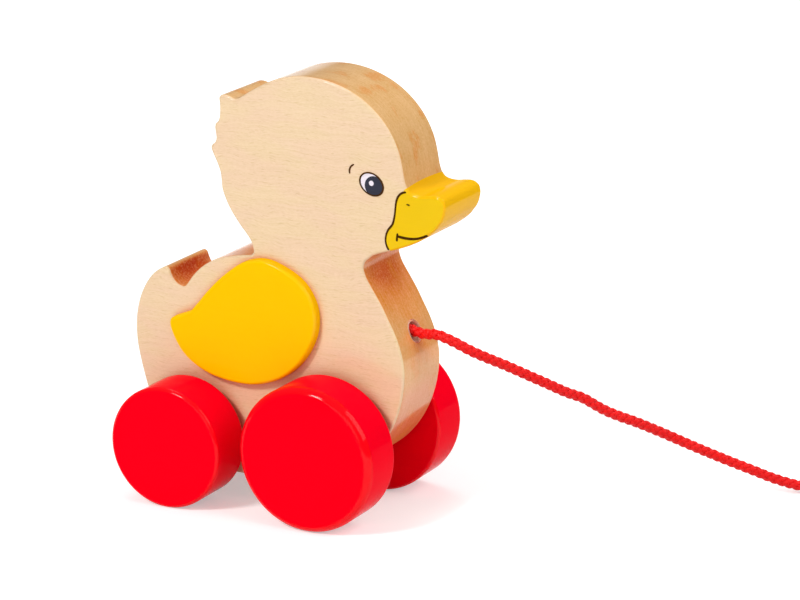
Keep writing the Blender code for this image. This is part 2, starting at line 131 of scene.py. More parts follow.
# The face as printed on both sides, in millimetres (x, z)
BILL_CORNER = (43.4, 111.1)
JAW_END = (37.2, 90.6)
BILL_LINE = [(43.3, 110.2), (41.6, 109.6), (40.5, 108.5), (39.8, 106.7), (39.5, 104.5), (39.2, 102.1),
             (38.4, 99.2), (37.0, 97.4), (36.2, 95.4), (36.1, 93.3), (36.7, 91.6), (37.2, 90.8)]
BILL_LINE_WIDTH = 0.72
NOSTRIL = [(43.3, 106.3), (43.9, 106.25), (44.6, 106.05)]
NOSTRIL_WIDTH = 0.55
MOUTH = [(40.2, 95.7), (43.2, 95.4), (46.2, 95.6), (48.7, 96.3), (50.7, 97.25)]
MOUTH_WIDTH = 0.90
MOUTH_TICK = [(40.25, 96.7), (40.1, 95.4), (40.0, 94.0)]
MOUTH_TICK_WIDTH = 0.75
BROW = [(24.9, 116.95), (23.8, 116.1), (23.35, 115.1), (23.4, 113.75)]
BROW_WIDTH = 0.50
EYE_CENTRE = (31.1, 111.3)
EYE_AXES = (4.3, 3.34)
EYE_TILT = radians(-28)
EYE_LINE_WIDTH = 0.52
PUPIL_CENTRE = (31.9, 110.75)
PUPIL_RADIUS = 3.2
GLINT_CENTRE = (31.05, 111.6)
GLINT_AXES = (0.82, 0.84)

# How a pen stroke's width wavers along it, and the share of the pen that its tips keep
STROKE_WAVER = 0.08
STROKE_WAVER_LENGTH = 1.7 * MM
STROKE_TIP_SHARE = 0.02

# The bill's paint bows out between the faces, with the rounded rims taking a share of the way
BILL_PAINT_BOW = 0.6 * MM
BILL_RIM_SHARE = 0.1
BILL_LINE_END_GAP = 1.6 * BOARD_EDGE_ROUND

# Heights where gloss and the painted shade of front hollows begin, where the low chest takes a painted red
# reflection of the wheels and how much, and where the head begins, whose edges get no painted shade
GLOSS_STARTS = (24 * MM, 44 * MM)
CHEST_REDS = (((40 * MM, 50 * MM), 0.45), ((31 * MM, 37 * MM), 0.35))
HEAD_STARTS = (94 * MM, 106 * MM)

# How far the shade of a hollow reaches, and the shade beside what is glued on
HOLLOW_REACH = 28 * MM
SEAM_REACH = 5 * MM
SHADE_SAMPLES = 8
LACQUER_IOR = 1.45
LEAST_PAINT_ROUGHNESS = 0.08

# The white card that shows in the gloss of the back: the way to it, its sides, its top and its light
CARD_DIRECTION = (-0.55, 0.835, 0.0)
CARD_SIDES = (0.75, 0.88)
CARD_TOP = (0.06, 0.24)
CARD_LIGHT = 0.90

# The room's light from low to high
ROOM_HEIGHTS = (0.15, 0.90)
ROOM_LIGHT = (0.16, 0.36)

# The floor: its tone, its glow from near to far, and where the gloss shows it end before a dark room
FLOOR_REACH = 6.0
FLOOR_TONE = (0.80, 0.80, 0.80, 1)
GLOW_DISTANCES = (0.3, 1.5)
GLOW_STRENGTHS = (0.40, 0.75)
TABLE_END_DIRECTION = (0.87, 0.49, 0.0)
TABLE_END = (0.40, 0.60)
DARK_ROOM_SHARE = 0.1

LAMP_TARGET = (0.0, 0.0, 0.07)

# How finely surfaces are cut
OUTLINE_STEP = 0.6 * MM
STROKE_STEP = 0.25 * MM
STROKE_POINTS_ACROSS = 7
ROUND_STEPS = 6
BILL_WALL_STEPS = 8
WHEEL_SIDES = 160
SMALL_SIDES = 64
BEAD_POINTS = 40
EYE_POINTS = 72
SHARP_ANGLE = radians(40)

# How close points count as one, or as on a level
CAD_MERGE_DISTANCE = 0.002 * MM
CUT_MERGE_DISTANCE = 0.001 * MM
LEVEL_TOLERANCE = 0.01 * MM

# How an edge's rounding gives way where an outline bends too tightly for it
FIT_TRIES = 80
FIT_LEAST_KEPT = 0.2
FIT_SHRINK = 0.92
FIT_SLOPE = 0.3
FIT_SPREADS = 4


# Curves


def lengths(vectors):
    return np.linalg.norm(vectors, axis=1)


def unit(vectors):
    return vectors / lengths(vectors)[:, None]


def left_of(run):
    """Unit vectors to the left of these (x, z) ones."""
    return unit(np.stack([-run[:, 1], run[:, 0]], axis=1))


def smooth_curve(points, step):
    """Points about one step apart on a smooth curve through three or more points."""
    points = np.asarray(points, float)
    spans = lengths(np.diff(points, axis=0))
    slopes = np.diff(points, axis=0) / spans[:, None]
    tangents = np.empty_like(points)
    before, after = spans[:-1, None], spans[1:, None]
    tangents[1:-1] = (slopes[:-1] * after + slopes[1:] * before) / (before + after)
    tangents[0] = 1.5 * slopes[0] - 0.5 * tangents[1]
    tangents[-1] = 1.5 * slopes[-1] - 0.5 * tangents[-2]
    found = [points[:1]]
    for i, span in enumerate(spans):
        count = max(1, round(span / step))
        t = np.linspace(0, 1, count + 1)[1:, None]
        found.append(
            (2 * t**3 - 3 * t**2 + 1) * points[i]
            + (t**3 - 2 * t**2 + t) * span * tangents[i]
            + (3 * t**2 - 2 * t**3) * points[i + 1]
            + (t**3 - t**2) * span * tangents[i + 1]
        )
    return np.concatenate(found)


def smooth_loop(points, step):
    """The same on a closed curve. Long straight sides are divided first, so that they stay straight."""
    longest = 5 * step
    filled = []
    for here, following in zip(points, np.roll(points, -1, axis=0)):
        count = max(1, ceil(np.linalg.norm(following - here) / longest))
        filled += [here + (following - here) * k / count for k in range(count)]
    overlap = 3
    curve = smooth_curve(filled[-overlap:] + filled + filled[:overlap + 1], step)
    from_start = lengths(curve - filled[0])
    first = np.argmin(from_start)
    from_start[: first + overlap] = np.inf
    return curve[first : np.argmin(from_start)]


def length_along(points):
    return np.concatenate([[0], np.cumsum(lengths(np.diff(points, axis=0)))])


def evenly(points, step):
    """Points one step apart along a line of close points."""
    along = length_along(points)
    places = np.linspace(0, along[-1], max(2, round(along[-1] / step) + 1))
    return np.stack([np.interp(places, along, points[:, k]) for k in range(points.shape[1])], axis=1)


def eased(share):
    """From 0 to 1 with a level start and end."""
    return share**2 * (3 - 2 * share)


def quarter_turn():
    return np.linspace(0, pi / 2, ROUND_STEPS + 1)


def full_turn(sides):
    return np.arange(sides) * tau / sides


def cad_outline(node, level):
    """The longest closed line (x, z), anticlockwise, where the wall of a CAD node passes y = level."""
    bm = bmesh.new()
    bm.from_mesh(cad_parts[node].data)
    bmesh.ops.remove_doubles(bm, verts=bm.verts, dist=CAD_MERGE_DISTANCE)
    at_level = {v for v in bm.verts if abs(v.co.y - level) < LEVEL_TOLERANCE}
    following = {}
    for edge in bm.edges:
        if set(edge.verts) <= at_level and not all(set(f.verts) <= at_level for f in edge.link_faces):
            for vert in edge.verts:
                following.setdefault(vert, []).append(edge.other_vert(vert))
    loops = []
    while following:
        loop = [next(iter(following))]
        while True:
            ways = [v for v in following.pop(loop[-1]) if v in following]
            if not ways:
                break
            loop.append(ways[0])
        loops.append(np.array([(v.co.x, v.co.z) for v in loop]))
    bm.free()
    longest = max(loops, key=lambda loop: length_along(loop)[-1])
    x, z = longest.T
    area = np.sum(x * np.roll(z, -1) - z * np.roll(x, -1))
    return longest if area > 0 else longest[::-1]


def inward(loop):
    """Unit normals that point into an anticlockwise closed line."""
    return left_of(np.roll(loop, -1, axis=0) - np.roll(loop, 1, axis=0))


def fitting_round(loop, radius):
    """How far an edge can be rounded at each point of a closed line without folding over."""
    normals, fits = inward(loop), np.full(len(loop), radius)
    run = np.roll(loop, -1, axis=0) - loop
    spans = lengths(run)
    for _ in range(FIT_TRIES):
        moved = loop + normals * fits[:, None]
        kept = np.sum((np.roll(moved, -1, axis=0) - moved) * run, axis=1) / spans**2
        folded = kept < FIT_LEAST_KEPT
        if not folded.any():
            break
        fits[folded | np.roll(folded, 1)] *= FIT_SHRINK
        for _ in range(FIT_SPREADS):
            fits = np.minimum(fits, np.roll(fits, 1) + FIT_SLOPE * np.roll(spans, 1))
            fits = np.minimum(fits, np.roll(fits, -1) + FIT_SLOPE * spans)
    return fits


# Meshes


def in_space(xz, y):
    """Points (x, z) set at one y, or each at its own."""
    return np.stack([xz[:, 0], np.broadcast_to(y, len(xz)), xz[:, 1]], axis=1)


def mesh_object(name, points, faces, material):
    mesh = bpy.data.meshes.new(name)
    mesh.from_pydata(np.asarray(points).reshape(-1, 3).tolist(), [], faces)
    bm = bmesh.new()
    bm.from_mesh(mesh)
    bmesh.ops.recalc_face_normals(bm, faces=bm.faces)
    bm.to_mesh(mesh)
    bm.free()
    mesh.materials.append(material)
    made = bpy.data.objects.new(name, mesh)
    bpy.context.scene.collection.objects.link(made)
    return made


def ring_faces(rings, sides, join_ends=False):
    """Faces over rings of so many points, with a cap at each end unless the last ring joins the first."""
    faces = []
    for i in range(rings if join_ends else rings - 1):
        here, ahead = i * sides, (i + 1) % rings * sides
        for k in range(sides):
            n = (k + 1) % sides
            faces.append((here + k, here + n, ahead + n, ahead + k))
    if not join_ends:
        faces.append(tuple(range(sides)))
        faces.append(tuple(range((rings - 1) * sides, rings * sides)))
    return faces


def joined(parts):
    """Several lots of points and faces as one."""
    points, faces = [], []
    for new_points, new_faces in parts:
        first = sum(len(lot) for lot in points)
        faces += [tuple(first + k for k in face) for face in new_faces]
        points.append(new_points)
    return np.concatenate(points), faces


def modify(made, kind, **settings):
    modifier = made.modifiers.new(kind.lower(), kind)
    for key, value in settings.items():
        setattr(modifier, key, value)


def smooth_shading(made):
    """Round surfaces shade smooth, flat ones stay flat and sharp edges stay sharp."""
    made.data.shade_smooth()
    made.data.set_sharp_from_angle(angle=SHARP_ANGLE)
    modify(made, "WEIGHTED_NORMAL", keep_sharp=True)
    return made


def rounded_slab(name, loop, low, high, low_round, high_round, material):
    """A flat piece over an outline in XZ from y = low to y = high, its edges rounded by up to these radii."""
    rings = []
    for level, radius, sign in ((low, low_round, 1), (high, high_round, -1)):
        fits = fitting_round(loop, radius) if radius else np.zeros(len(loop))
        angles = quarter_turn() if radius else [0.0]
        edge = []
        for a in angles:
            moved = loop + inward(loop) * (fits * (1 - cos(a)))[:, None]
            y = level + sign * fits * (1 - sin(a))
            edge.append(in_space(moved, y))
        rings += edge[::-1] if sign > 0 else edge
    return mesh_object(name, np.concatenate(rings), ring_faces(len(rings), len(loop)), material)


def turned(name, profile, sides, material, join_ends=False):
    """A turned piece about its own Z axis from a (radius, z) profile that stays off the axis."""
    rings = [[(r * cos(a), r * sin(a), z) for a in full_turn(sides)] for r, z in profile]
    return mesh_object(name, rings, ring_faces(len(rings), sides, join_ends), material)


def place(made, at, direction):
    """Puts a piece with its own Z axis along a direction."""
    made.location = at
    made.rotation_mode = "QUATERNION"
    made.rotation_quaternion = Vector(direction).to_track_quat("Z", "Y")
    return made


def cut(made, cutters):
    """Takes the cutters out of a piece, and removes them."""
    for cutter in cutters:
        modify(made, "BOOLEAN", operation="DIFFERENCE", solver="EXACT",
               material_mode="TRANSFER", object=cutter)
    graph = bpy.context.evaluated_depsgraph_get()
    whole = bpy.data.meshes.new_from_object(made.evaluated_get(graph))
    bm = bmesh.new()
    bm.from_mesh(whole)
    bmesh.ops.remove_doubles(bm, verts=bm.verts, dist=CUT_MERGE_DISTANCE)
    bm.to_mesh(whole)
    bm.free()
    made.modifiers.clear()
    made.data = whole
    for cutter in cutters:
        bpy.data.objects.remove(cutter, do_unlink=True)
    return made


def hole(at, direction, radius, depth, back=None):
    """A round cutter that starts a little before a point and goes depth along a direction."""
    back = radius if back is None else back
    cutter = turned("cutter", [(radius, -back), (radius, depth)], SMALL_SIDES, bore_wood)
    return place(cutter, at, direction)


def middle(node):
    low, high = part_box(node)
    return (low + high) / 2


def node_radius(node):
    """The radius of a round node that lies along Y."""
    low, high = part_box(node)
    return (high.x - low.x) / 2


# Materials


class Nodes:
    """A node tree under construction."""

    def __init__(self, tree):
        self.tree = tree

    def add(self, kind, inputs=None, **settings):
        made = self.tree.nodes.new("ShaderNode" + kind)
        for key, value in settings.items():
            setattr(made, key, value)
        for key, value in (inputs or {}).items():
            self.feed(made.inputs[key], value)
        return made

    def feed(self, socket, value):
        if isinstance(value, bpy.types.NodeSocket):
            self.tree.links.new(value, socket)
        else:
            socket.default_value = value

    def math(self, operation, first, *others):
        """One operation on a value alone, or over several values in turn."""
        for other in others or (0.0,):
            first = self.add("Math", {0: first, 1: other}, operation=operation).outputs[0]
        return first

    def step(self, value, low, high, at_low=0.0, at_high=1.0, change="SMOOTHSTEP"):
        """At_low below low, at_high above high, and a smooth or even change between."""
        inputs = {"Value": value, "From Min": low, "From Max": high, "To Min": at_low, "To Max": at_high}
        return self.add("MapRange", inputs, interpolation_type=change).outputs[0]

    def between(self, value, low, high):
        """A value from 0 to 1 spread evenly from low to high."""
        return self.step(value, 0.0, 1.0, low, high, "LINEAR")

    def along(self, vector, direction):
        """How far a vector reaches in a direction."""
        return self.add("VectorMath", {0: vector, 1: direction}, operation="DOT_PRODUCT").outputs["Value"]


class Shader(Nodes):
    """A material under construction: a Principled surface and the nodes that feed it."""

    def __init__(self, name):
        self.material = bpy.data.materials.new(name)
        self.material.use_nodes = True
        super().__init__(self.material.node_tree)
        self.surface = self.tree.nodes["Principled BSDF"]
        coordinates = self.add("TexCoord")
        self.position = coordinates.outputs["Object"]
        self.normal = self.add("SeparateXYZ", {0: coordinates.outputs["Normal"]}).outputs
        self.uv = coordinates.outputs["UV"]

    def set(self, **values):
        for name, value in values.items():
            self.feed(self.surface.inputs[name.replace("_", " ")], value)

    def noise(self, cell, detail=2.0, roughness=0.5, vector=None):
        """Noise with blobs of about this many millimetres, or this many along X, Y and Z."""
        scale = tuple(1 / (size * MM) for size in np.broadcast_to(cell, 3).tolist())
        moved = self.add("Mapping", {"Vector": vector or self.position, "Scale": scale}).outputs[0]
        inputs = {"Vector": moved, "Scale": 1.0, "Detail": detail, "Roughness": roughness}
        return self.add("TexNoise", inputs).outputs["Fac"]

    def openness(self, reach):
        """1 in the open, and less the more of what lies within reach closes a place in."""
        return self.add("AmbientOcclusion", {"Distance": reach}, samples=SHADE_SAMPLES).outputs["AO"]

    def blend(self, share, a, b):
        """A number between two others."""
        return self.add("Mix", {0: share, 2: a, 3: b}).outputs[0]

    def mix(self, share, a, b):
        """A colour between two others."""
        made = self.add("Mix", data_type="RGBA")
        for index, value in ((0, share), (6, a), (7, b)):
            self.feed(made.inputs[index], (*value, 1) if isinstance(value, tuple) else value)
        return made.outputs[2]

    def shade(self, colour, value, saturation=1.0):
        inputs = {"Color": colour, "Value": value, "Saturation": saturation}
        return self.add("HueSaturation", inputs).outputs[0]

    def bump(self, height, distance, strength):
        """Relief, its distance in millimetres."""
        inputs = {"Height": height, "Distance": distance * MM, "Strength": strength}
        self.set(Normal=self.add("Bump", inputs).outputs[0])


def wood_grain(s):
    """The noises that make up the look of wood whose fibres run along X and waver a little."""
    drift = s.add("CombineXYZ", {2: s.between(s.noise(14), -3 * MM, 3 * MM)}).outputs[0]
    wavering = s.add("VectorMath", {0: s.position, 1: drift}, operation="ADD").outputs[0]
    return SimpleNamespace(
        fibre=s.noise((22, 0.8, 0.45), detail=3, roughness=0.6, vector=wavering),
        flecks=s.step(s.noise((3.2, 0.6, 0.30), vector=wavering), 0.57, 0.72),
        speckle=s.noise((1.1, 0.9, 0.50)),
        blotch=s.noise((22, 14, 7)),
        streak=s.noise((14, 0.6, 14)),
        pores=s.noise(0.7, detail=3, roughness=0.6),
        patch=s.noise((9, 7, 9), detail=3),
    )


def wood_places(s):
    """Where a point of the wood lies: how it faces, how closed in it is and how high it stands."""
    sideways = s.math("ABSOLUTE", s.normal[1])
    openness = s.openness(HOLLOW_REACH)
    height = s.add("SeparateXYZ", {0: s.position}).outputs[2]
    return SimpleNamespace(
        facing=s.step(sideways, 0.12, 0.50),
        rim=s.math("SUBTRACT", s.step(sideways, 0.05, 0.25), s.step(sideways, 0.90, 0.985)),
        forward=s.step(s.normal[0], -0.15, 0.35),
        open=s.step(openness, 0.88, 1.02),
        closed=s.step(openness, 0.50, 0.84, 1.0, 0.0),
        lifted=s.step(height, *GLOSS_STARTS),
        head=s.step(height, *HEAD_STARTS),
        below_head=s.step(height, *HEAD_STARTS, 1.0, 0.0),
        low_chest=s.math("ADD", *(s.step(height, *heights, share, 0.0) for heights, share in CHEST_REDS)),
    )


def wood_edge_colour(s, grain, at, edges, painted_shade, painted_wheel_red):
    """The sawn edges: warmer as painted shade where they lie in hollows below the head, a mottled deep
    painted shade in the hollows at the front, a painted red reflection of the wheels low on the chest, and
    warmer random patches.
    """
    plain, warm = edges
    colour = s.mix(s.math("MAXIMUM", at.open, at.head), warm, plain)
    mottled = s.mix(s.step(grain.pores, 0.50, 0.66, 0.0, 0.5), painted_shade, warm)
    front_hollows = s.math("MULTIPLY", at.closed, at.forward, at.lifted, at.below_head)
    colour = s.mix(front_hollows, colour, mottled)
    colour = s.mix(s.math("MULTIPLY", at.low_chest, at.forward), colour, painted_wheel_red)
    return s.mix(s.step(grain.patch, 0.56, 0.68, 0.0, 0.5), colour, warm)


def wood_face_colour(s, grain, faces, painted_shade):
    """The flat faces: blotches of two tones, with a red-tinted painted shade close beside what is glued on.
    """
    colour = s.mix(s.step(grain.blotch, 0.38, 0.62), *faces)
    return s.mix(s.step(s.openness(SEAM_REACH), 0.45, 0.88, 0.45, 0.0), colour, painted_shade)


def wood_material(name, faces, edges, painted_shade, painted_wheel_red=None):
    """Pale lacquered wood, grain along X. Its faces and its edges have a plain and a warm tone each. A deep
    colour paints shade into hollows and beside what is glued on, and another paints a red reflection of the
    wheels low on the chest.
    """
    s = Shader(name)
    grain, at = wood_grain(s), wood_places(s)
    edge_colour = wood_edge_colour(s, grain, at, edges, painted_shade, painted_wheel_red or painted_shade)
    face_colour = wood_face_colour(s, grain, faces, painted_shade)
    face_tone = s.math("ADD", s.between(grain.fibre, 0.92, 1.08), s.between(grain.speckle, -0.06, 0.06))
    face_tone = s.math("SUBTRACT", face_tone, s.math("MULTIPLY", grain.flecks, 0.11))
    edge_tone = s.math("ADD", s.between(grain.streak, 0.92, 1.08), s.between(grain.pores, -0.14, 0.14),
                       s.between(grain.patch, 0.08, -0.08))
    tone = s.blend(at.facing, edge_tone, face_tone)
    deeper = s.math("SUBTRACT", 2.0, tone)
    s.set(Base_Color=s.shade(s.mix(at.facing, edge_colour, face_colour), tone, deeper))
    s.set(Roughness=s.between(grain.fibre, 0.40, 0.56), Specular_IOR_Level=0.1)
    coat = s.math("MULTIPLY", s.between(at.rim, 0.9, 0.45), s.between(at.closed, 1.0, 0.15),
                  s.between(at.lifted, 0.3, 1.0))
    s.set(Coat_Weight=coat, Coat_Roughness=0.11, Coat_IOR=LACQUER_IOR)
    s.bump(s.math("SUBTRACT", grain.fibre, s.math("MULTIPLY", grain.flecks, 0.4)), 0.004, 0.5)
    return s.material


def paint_material(name, faces, rims, walls, gloss, coats, axis=1, sheen=0.0, sheen_tint=(1, 1, 1)):
    """Glossy lacquer with a trace of grain in it: a colour and a clear coat each for faces, rims and walls.

    Faces lie square to the axis. Under the coat the paint itself may shine in a tint of its own.
    """
    s = Shader(name)
    square = s.math("ABSOLUTE", s.normal[axis])
    flat = s.step(square, 0.88, 0.985)
    bent = s.step(square, 0.05, 0.30)
    blotch = s.noise(22)
    grain = s.noise((16, 0.9, 0.9), detail=3)
    peel = s.noise(1.5)
    tone = s.math("ADD", s.between(blotch, 0.96, 1.02), s.between(grain, -0.02, 0.02))
    s.set(Base_Color=s.shade(s.mix(flat, s.mix(bent, walls, rims), faces), tone))
    s.set(Roughness=max(gloss, LEAST_PAINT_ROUGHNESS))
    s.set(Specular_IOR_Level=sheen, Specular_Tint=(*sheen_tint, 1))
    face_coat, rim_coat, wall_coat = coats
    s.set(Coat_Weight=s.blend(flat, s.blend(bent, wall_coat, rim_coat), face_coat))
    s.set(Coat_Roughness=gloss, Coat_IOR=LACQUER_IOR)
    s.bump(s.math("ADD", peel, s.math("MULTIPLY", grain, 0.7)), 0.012, 0.4)
    return s.material


def ink_material(name, colour):
    """Printing ink that lies a little thinner where the grain is open."""
    s = Shader(name)
    grain = s.noise((2.2, 0.5, 0.25), detail=3)
    s.set(Base_Color=s.shade((*colour, 1), s.between(grain, 0.8, 1.25)))
    s.set(Roughness=s.between(grain, 0.40, 0.60), Specular_IOR_Level=0.02)
    s.bump(grain, 0.01, 0.4)
    return s.material


def cord_material(name, colour, deep):
    """Braided shiny yarn: each strand is a lightly twisted bundle of fibres."""
    s = Shader(name)
    twist = s.add("TexWave", {"Vector": s.uv, "Scale": 1.0, "Distortion": 1.2, "Detail": 2.0},
                  wave_type="BANDS", bands_direction="DIAGONAL").outputs["Fac"]
    fuzz = s.noise(0.5, detail=3)
    worn = s.noise(14)
    tone = s.math("ADD", s.between(twist, 0.90, 1.04), s.between(fuzz, -0.06, 0.06))
    s.set(Base_Color=s.shade(s.mix(s.step(worn, 0.3, 0.7), colour, deep), tone))
    s.set(Roughness=s.between(fuzz, 0.34, 0.50), Specular_IOR_Level=0.25)
    s.bump(s.math("ADD", twist, fuzz), 0.04, 0.4)
    return s.material


wood = wood_material(
    "wood",
    faces=((0.75, 0.555, 0.335), (0.755, 0.54, 0.35)),
    edges=((0.72, 0.41, 0.155), (0.76, 0.29, 0.065)),
    # The deep red of painted shade in hollows and beside the wings
    painted_shade=(0.62, 0.045, 0.003),
    # A painted red reflection of the wheels, low on the chest
    painted_wheel_red=(0.72, 0.14, 0.05),
)
dowel_wood = wood_material(
    "dowel_wood",
    faces=((0.70, 0.50, 0.30), (0.68, 0.47, 0.28)),
    edges=((0.70, 0.48, 0.28), (0.66, 0.42, 0.23)),
    # Painted shade in hollows
    painted_shade=(0.55, 0.34, 0.18),
)
# Bare wood in the cord's bore: its painted shade in the hollows is reddened as a painted glow from the red
# cord
bore_wood = wood_material(
    "bore_wood",
    faces=((0.90, 0.70, 0.54), (0.90, 0.70, 0.54)),
    edges=((0.92, 0.70, 0.54), (0.90, 0.60, 0.45)),
    painted_shade=(0.84, 0.42, 0.30),
)
wing_paint = paint_material(
    "wing_paint",
    faces=(0.94, 0.515, 0.0003),
    rims=(0.95, 0.52, 0.0003),
    walls=(0.98, 0.54, 0.0003),
    gloss=0.10,
    coats=(0.05, 0.4, 0.1),
)
bill_paint = paint_material(
    "bill_paint",
    faces=(0.78, 0.50, 0.004),
    rims=(0.88, 0.45, 0.002),
    walls=(0.86, 0.46, 0.003),
    gloss=0.05,
    coats=(0.15, 0.4, 0.3),
)
bead_paint = paint_material(
    "bead_paint",
    faces=(0.96, 0.54, 0.0005),
    rims=(0.94, 0.50, 0.0005),
    walls=(0.94, 0.50, 0.0005),
    gloss=0.10,
    coats=(0.5, 0.5, 0.5),
)
red_paint = paint_material(
    "red_paint",
    faces=(0.98, 0.0002, 0.009),
    rims=(0.96, 0.0004, 0.006),
    # The treads' touch more blue than the faces is a painted magenta reflection of the floor
    walls=(0.97, 0.0003, 0.014),
    gloss=0.05,
    coats=(0.0, 0.35, 0.0),
    axis=2,
    sheen=0.008,
    sheen_tint=(1.0, 0.08, 0.60),
)
cord_yarn = cord_material("cord_yarn", colour=(0.84, 0.003, 0.003), deep=(0.76, 0.002, 0.002))
line_ink = ink_material("line_ink", (0.055, 0.021, 0.0015))
pupil_ink = ink_material("pupil_ink", (0.036, 0.038, 0.056))
white_ink = ink_material("white_ink", (0.76, 0.70, 0.76))


def dress(made, slot, *replaced, body="duck"):
    """Attaches a piece to what it rides on and hides the CAD nodes it stands for. The slot is not used."""
    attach(made, body)
    if replaced:
        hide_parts(*replaced)
    return made


# The cord


def coil_turns(start, heading):
    """The coil's centre line, in on the floor and out again on top, and the middle of its four strands."""
    to_right = np.array([heading[1], -heading[0], 0])
    centre = start + heading * CORD_DIAMETER + to_right * COIL_OUTER_RADIUS
    pitch = CORD_DIAMETER + COIL_STRAND_GAP
    whole = COIL_TURNS * tau
    angles = np.linspace(0, whole, COIL_TURNS * COIL_POINTS_PER_TURN + 1)
    radius = COIL_OUTER_RADIUS - pitch * np.minimum(angles, whole - angles) / tau
    climb = np.clip((angles - whole / 2) / pi + 0.5, 0, 1)
    wound = centre - np.outer(radius * np.cos(angles), to_right) + np.outer(radius * np.sin(angles), heading)
    wound[:, 2] += pitch * eased(climb)
    stack_at = centre + to_right * (COIL_OUTER_RADIUS - pitch) + np.array([0, 0, pitch / 2])
    return wound, stack_at


def cord_path():
    """The free cord's centre line from inside the chest to the end of the bead.

    With it come the bead's place, the way the coil faces and the middle of its four strands, two on two.
    """
    route = np.array(CORD_ROUTE) * MM
    lead = smooth_curve(route, BRAID_STEP)
    start = route[-1]
    ahead, left, _ = start - route[-2]
    heading = np.array([ahead, left, 0]) / np.hypot(ahead, left)
    wound, stack_at = coil_turns(start, heading)
    last = wound[-1]
    bend = np.linspace(0, 1, COIL_TAIL_STEPS + 1)[1:]
    tail = last + np.outer(bend * (COIL_TO_BEAD - BEAD_RADIUS - CORD_DIAMETER), heading)
    tail[:, 2] += (BEAD_RADIUS - last[2]) * eased(bend)
    bead_at = np.array([*(last + heading * COIL_TO_BEAD)[:2], BEAD_RADIUS])
    end = bead_at + heading * (BEAD_RADIUS + END_GAP - GLUE_GAP)
    rest = smooth_curve(np.concatenate([start[None], wound, tail, bead_at[None], end[None]]), BRAID_STEP)
    return evenly(np.concatenate([lead, rest[1:]]), BRAID_STEP), bead_at, heading, stack_at


def frames_along(path):
    """Directions along a line and two square to it that don't twist as they go."""
    along = unit(np.gradient(path, axis=0))
    first = np.cross(along[0], (0, 0, 1.0))
    sideways = [first / np.linalg.norm(first)]
    for here in along[1:]:
        carried = sideways[-1] - here * np.dot(sideways[-1], here)
        sideways.append(carried / np.linalg.norm(carried))
    sideways = np.array(sideways)
    return along, sideways, np.cross(along, sideways)


def lay_yarn(made, places):
    """Gives each point of a piece its place on the yarn: how far along it and how far round it."""
    layer = made.data.uv_layers.new(name="strand")
    corners = np.empty(len(made.data.loops), np.int32)
    made.data.loops.foreach_get("vertex_index", corners)
    layer.data.foreach_set("uv", places[corners].astype(np.float32).ravel())


def strand(centre, out, side, thin, wide):
    """Points and faces of an oval tube along a line, thin in one direction and wide in the other."""
    section = full_turn(STRAND_SIDES)
    rings = (centre[:, None] + thin * np.cos(section)[None, :, None] * out[:, None]
             + wide * np.sin(section)[None, :, None] * side[:, None])
    return rings.reshape(-1, 3), ring_faces(len(centre), STRAND_SIDES)


def braid(name, path, scale=1.0):
    """A round braid along a path of close points: strands round a core, over and under each other."""
    along, sideways, upwards = frames_along(path)
    travelled = length_along(path)
    core = (STRAND_MIDDLE - STRAND_WEAVE) * scale
    tubes = [strand(path, sideways, upwards, core, core)]
    for way in (1, -1):
        for k in range(BRAID_STRANDS):
            angle = way * tau * travelled / BRAID_PITCH + tau * k / BRAID_STRANDS
            out = np.cos(angle)[:, None] * sideways + np.sin(angle)[:, None] * upwards
            around = np.cross(along, out)
            radius = (STRAND_MIDDLE + way * STRAND_WEAVE * np.cos(BRAID_STRANDS * angle)) * scale
            run = unit(along + (way * tau * radius / BRAID_PITCH)[:, None] * around)
            centre = path + radius[:, None] * out
            tubes.append(strand(centre, out, np.cross(run, out), STRAND_THIN * scale, STRAND_WIDE * scale))
    made = mesh_object(name, *joined(tubes), cord_yarn)
    places = [np.repeat(travelled / MM, STRAND_SIDES), np.tile(full_turn(STRAND_SIDES), len(path))]
    lay_yarn(made, np.tile(np.stack(places, axis=1), (len(tubes), 1)))
    made.data.shade_smooth()
    return made


def stop_knot(name, centre, direction, radius, length):
    """A pulled-tight knot: the cord wraps twice round itself and dives back in at both ends."""
    thickness = KNOT_CORD_SHARE * CORD_DIAMETER
    share = np.linspace(0, 1, KNOT_POINTS)
    angle = tau * KNOT_TURNS * share
    emerged = np.clip(np.minimum(share, 1 - share) / KNOT_DIVE_SHARE, 0, 1)
    out = (radius - thickness / 2) * (KNOT_DIVE_TO + (1 - KNOT_DIVE_TO) * eased(emerged))
    up = (share - 0.5) * (length - thickness)
    helix = np.stack([out * np.cos(angle), out * np.sin(angle), up], axis=1)
    made = braid(name, evenly(helix, BRAID_STEP), KNOT_CORD_SHARE)
    return place(made, centre, direction)


